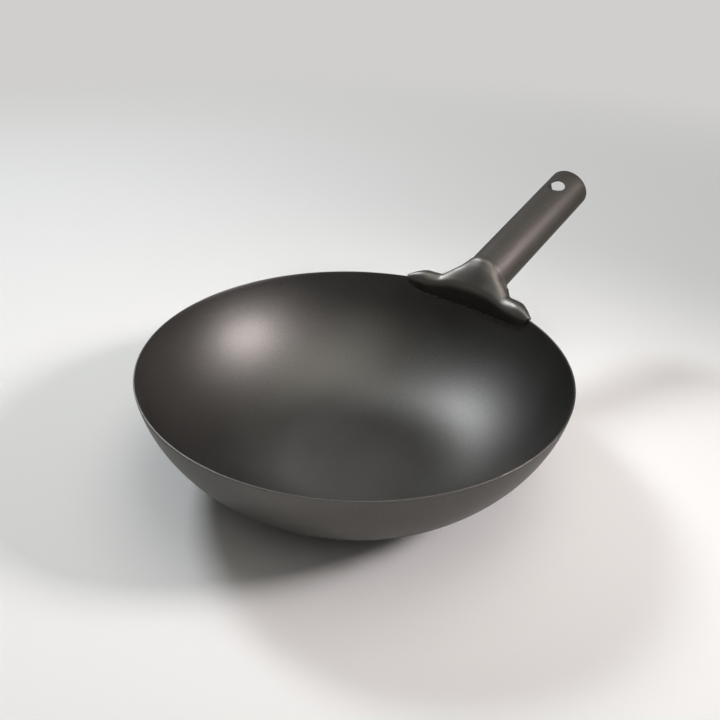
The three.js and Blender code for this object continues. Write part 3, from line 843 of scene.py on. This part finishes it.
# the row of stitches under the flap, each drifting down a little as it goes
def stitchLines():
    pitch = math.radians(weld["stitchSpan"]) / weld["stitchCount"]
    shares = [k / weld["stitchSteps"] for k in range(weld["stitchSteps"] + 1)]
    standOff = root["seatGap"] + weld["stitchRadius"]
    lines = []
    for i in range(weld["stitchCount"]):
        middle = (i + 0.5 - weld["stitchCount"] / 2) * pitch
        line = []
        for share in shares:
            turn = middle + pitch * weld["stitchShare"] * (share - 0.5)
            height = flapEdge(turn).z - bowl["height"] - standOff - weld["stitchDrift"] * share
            line.append(rimPoint(wallRadius(height, bowl["wall"]) - standOff, turn, height))
        lines.append(line)
    return lines


leftSeam = seamLine()
makeBeads("seamWeldLeft", [leftSeam], weld["beadRadius"], weldTitanium, "seam_weld_left")
rightSeam = [mirrored(p) for p in leftSeam]
makeBeads("seamWeldRight", [rightSeam], weld["beadRadius"], weldTitanium, "seam_weld_right")
makeBeads("underWeld", [underLine()], weld["beadRadius"], weldTitanium, "under_weld")
stitchNodes = [f"flap_weld_{i + 1}" for i in range(weld["stitchCount"])]
makeBeads("flapWelds", stitchLines(), weld["stitchRadius"], stitchHighlightTitanium, *stitchNodes)


# the ring at the tube's mitred end, dressed and blasted with the tube
def makeNeckWeld():
    columns, sides = tube["columns"], weld["neckSides"]
    middle = tube["radius"] - tube["wall"] / 2
    thick = tube["wall"] / 2 + weld["neckProud"]
    points, faces = [], []
    for k in range(columns):
        turn = 2 * math.pi * k / columns
        for i in range(sides):
            roll = 2 * math.pi * i / sides
            reach = neckReach(turn) + root["neckWeld"] * weld["neckShare"] * math.cos(roll)
            points.append(tubePoint(reach, turn, middle + thick * math.sin(roll)))
            n, j = (k + 1) % columns, (i + 1) % sides
            faces.append((k * sides + i, k * sides + j, n * sides + j, n * sides + i))
    piece = closedPiece("neckWeld", points, faces, tubeTitanium)
    seat(piece, "weld_metal", "neck_weld")


makeNeckWeld()

# Floor: matt paper. Near the wok it shows the lamps' light and the shadows; further out, where the lamps
# don't reach, it turns to an even pale tone. Lengths are in metres.
stage = {"floorSize": 40, "floorTone": "#e9e7e4", "roughness": 0.9, "shine": 0.1,
         "farTone": "#d0cfcd", "evenFrom": 0.3, "evenTo": 1.5}


def makeFloor():
    half = stage["floorSize"] / 2 / mm
    floorPaper, tree = newMaterial("matt paper floor")
    place = addNode(tree, "ShaderNodeTexCoord").outputs["Object"]
    away = addNode(tree, "ShaderNodeVectorMath", {0: place}, operation="LENGTH").outputs["Value"]
    share = addNode(tree, "ShaderNodeMapRange", {
        "Value": away, "From Min": stage["evenFrom"], "From Max": stage["evenTo"]},
        interpolation_type="SMOOTHSTEP")
    paper = addNode(tree, "ShaderNodeBsdfPrincipled", {
        "Base Color": hexColor(stage["floorTone"]), "Roughness": stage["roughness"],
        "Specular IOR Level": stage["shine"]})
    even = addNode(tree, "ShaderNodeEmission", {"Color": hexColor(stage["farTone"]), "Strength": 1.0})
    blend = addNode(tree, "ShaderNodeMixShader", {
        0: share.outputs["Result"], 1: paper.outputs["BSDF"], 2: even.outputs["Emission"]})
    addNode(tree, "ShaderNodeOutputMaterial", {"Surface": blend.outputs["Shader"]})
    corners = [(-half, -half, 0), (half, -half, 0), (half, half, 0), (-half, half, 0)]
    floor = meshPiece("floor", corners, [(0, 1, 2, 3)], floorPaper)


makeFloor()

# Lamps, by direction from the origin, distance and size in metres, and how wide the beam spreads; a lamp
# points at the origin or at its aim, and the wall box stands for a pale wall that the bowl mirrors
lamps = {
    "coolBox": {"azimuth": 86, "elevation": 46, "distance": 2.0, "size": 0.5, "power": 21.6,
                "spread": 180, "tone": "#f1f8ff"},
    "warmBox": {"azimuth": -60.3, "elevation": 35.7, "distance": 1.06, "size": 0.255, "power": 0.93,
                "spread": 55, "aim": (-50, 60, 60), "tone": "#fff7fb"},
    "topBox": {"azimuth": -50, "elevation": 80, "distance": 1.6, "size": 1.2, "power": 6.8,
               "spread": 180, "tone": "#fffff8"},
    "frontBox": {"azimuth": -138, "elevation": 60, "distance": 2.0, "size": 1.4, "power": 5.05,
                 "spread": 180, "tone": "#fffef8"},
    "wallBox": {"azimuth": 42, "elevation": 45, "distance": 2.0, "size": 1.6, "power": 1.5,
                "spread": 180, "tone": "#fffdf6"}}
world = {"skyTone": "#ffffff", "skyStrength": 0.06, "edgeStrength": 0.62, "edgeFrom": 0.04, "edgeTo": 0.2}


def makeLamps():
    for name, lamp in lamps.items():
        turn, lift = math.radians(lamp["azimuth"]), math.radians(lamp["elevation"])
        way = Vector((math.cos(turn) * math.cos(lift), math.sin(turn) * math.cos(lift), math.sin(lift)))
        light = bpy.data.lights.new(name, "AREA")
        light.shape = "DISK"
        light.size = lamp["size"]
        light.energy = lamp["power"]
        light.spread = math.radians(lamp["spread"])
        light.color = hexColor(lamp["tone"])[:3]
        holder = bpy.data.objects.new(name, light)
        holder.location = way * lamp["distance"]
        target = Vector(lamp.get("aim", (0, 0, 0))) * mm
        holder.rotation_euler = (holder.location - target).to_track_quat("Z", "Y").to_euler()
        holder.visible_camera = False
        bpy.context.scene.collection.objects.link(holder)


# a dim room, with the floor's far tone carried on a little above the horizon
def makeWorld():
    sky = bpy.data.worlds.new("studio")
    sky.use_nodes = True
    tree = sky.node_tree
    tree.nodes.clear()
    place = addNode(tree, "ShaderNodeTexCoord").outputs["Generated"]
    height = addNode(tree, "ShaderNodeSeparateXYZ", {"Vector": place}).outputs["Z"]
    strength = addNode(tree, "ShaderNodeMapRange", {
        "Value": height, "From Min": world["edgeFrom"], "From Max": world["edgeTo"],
        "To Min": world["edgeStrength"], "To Max": world["skyStrength"]}, interpolation_type="SMOOTHSTEP")
    room = addNode(tree, "ShaderNodeBackground", {
        "Color": hexColor(world["skyTone"]), "Strength": strength.outputs["Result"]})
    addNode(tree, "ShaderNodeOutputWorld", {"Surface": room.outputs["Background"]})
    bpy.context.scene.world = sky


makeWorld()
makeLamps()

# Camera: placed by direction and distance from the rim's centre and aimed a little beside it; the image is
# square, and the lens and the sensor are in millimetres
view = {"azimuth": -50.46, "elevation": 30.36, "distance": 510.1, "aimRight": 2.83, "aimUp": -0.28,
        "roll": 1.98, "lens": 39.25, "sensor": 36, "clipFrom": 10}


def makeCamera():
    turn, lift = math.radians(view["azimuth"]), math.radians(view["elevation"])
    back = Vector((math.sin(turn) * math.cos(lift), -math.cos(turn) * math.cos(lift), math.sin(lift)))
    right = (-back).cross(upward).normalized()
    up = right.cross(-back)
    centre = Vector((0, 0, bowl["height"]))
    place = centre + back * view["distance"]
    aim = centre + right * view["aimRight"] + up * view["aimUp"]
    lens = bpy.data.cameras.new("camera")
    lens.lens = view["lens"]
    lens.sensor_width = view["sensor"]
    lens.clip_start = view["clipFrom"] * mm
    camera = bpy.data.objects.new("camera", lens)
    level = (place - aim).to_track_quat("Z", "Y").to_matrix().to_4x4()
    rolled = level @ Matrix.Rotation(math.radians(view["roll"]), 4, "Z")
    camera.matrix_world = Matrix.Translation(place * mm) @ rolled
    bpy.context.scene.collection.objects.link(camera)
    bpy.context.scene.camera = camera


makeCamera()
bpy.context.scene.view_settings.view_transform = "Standard"
print("stage set")
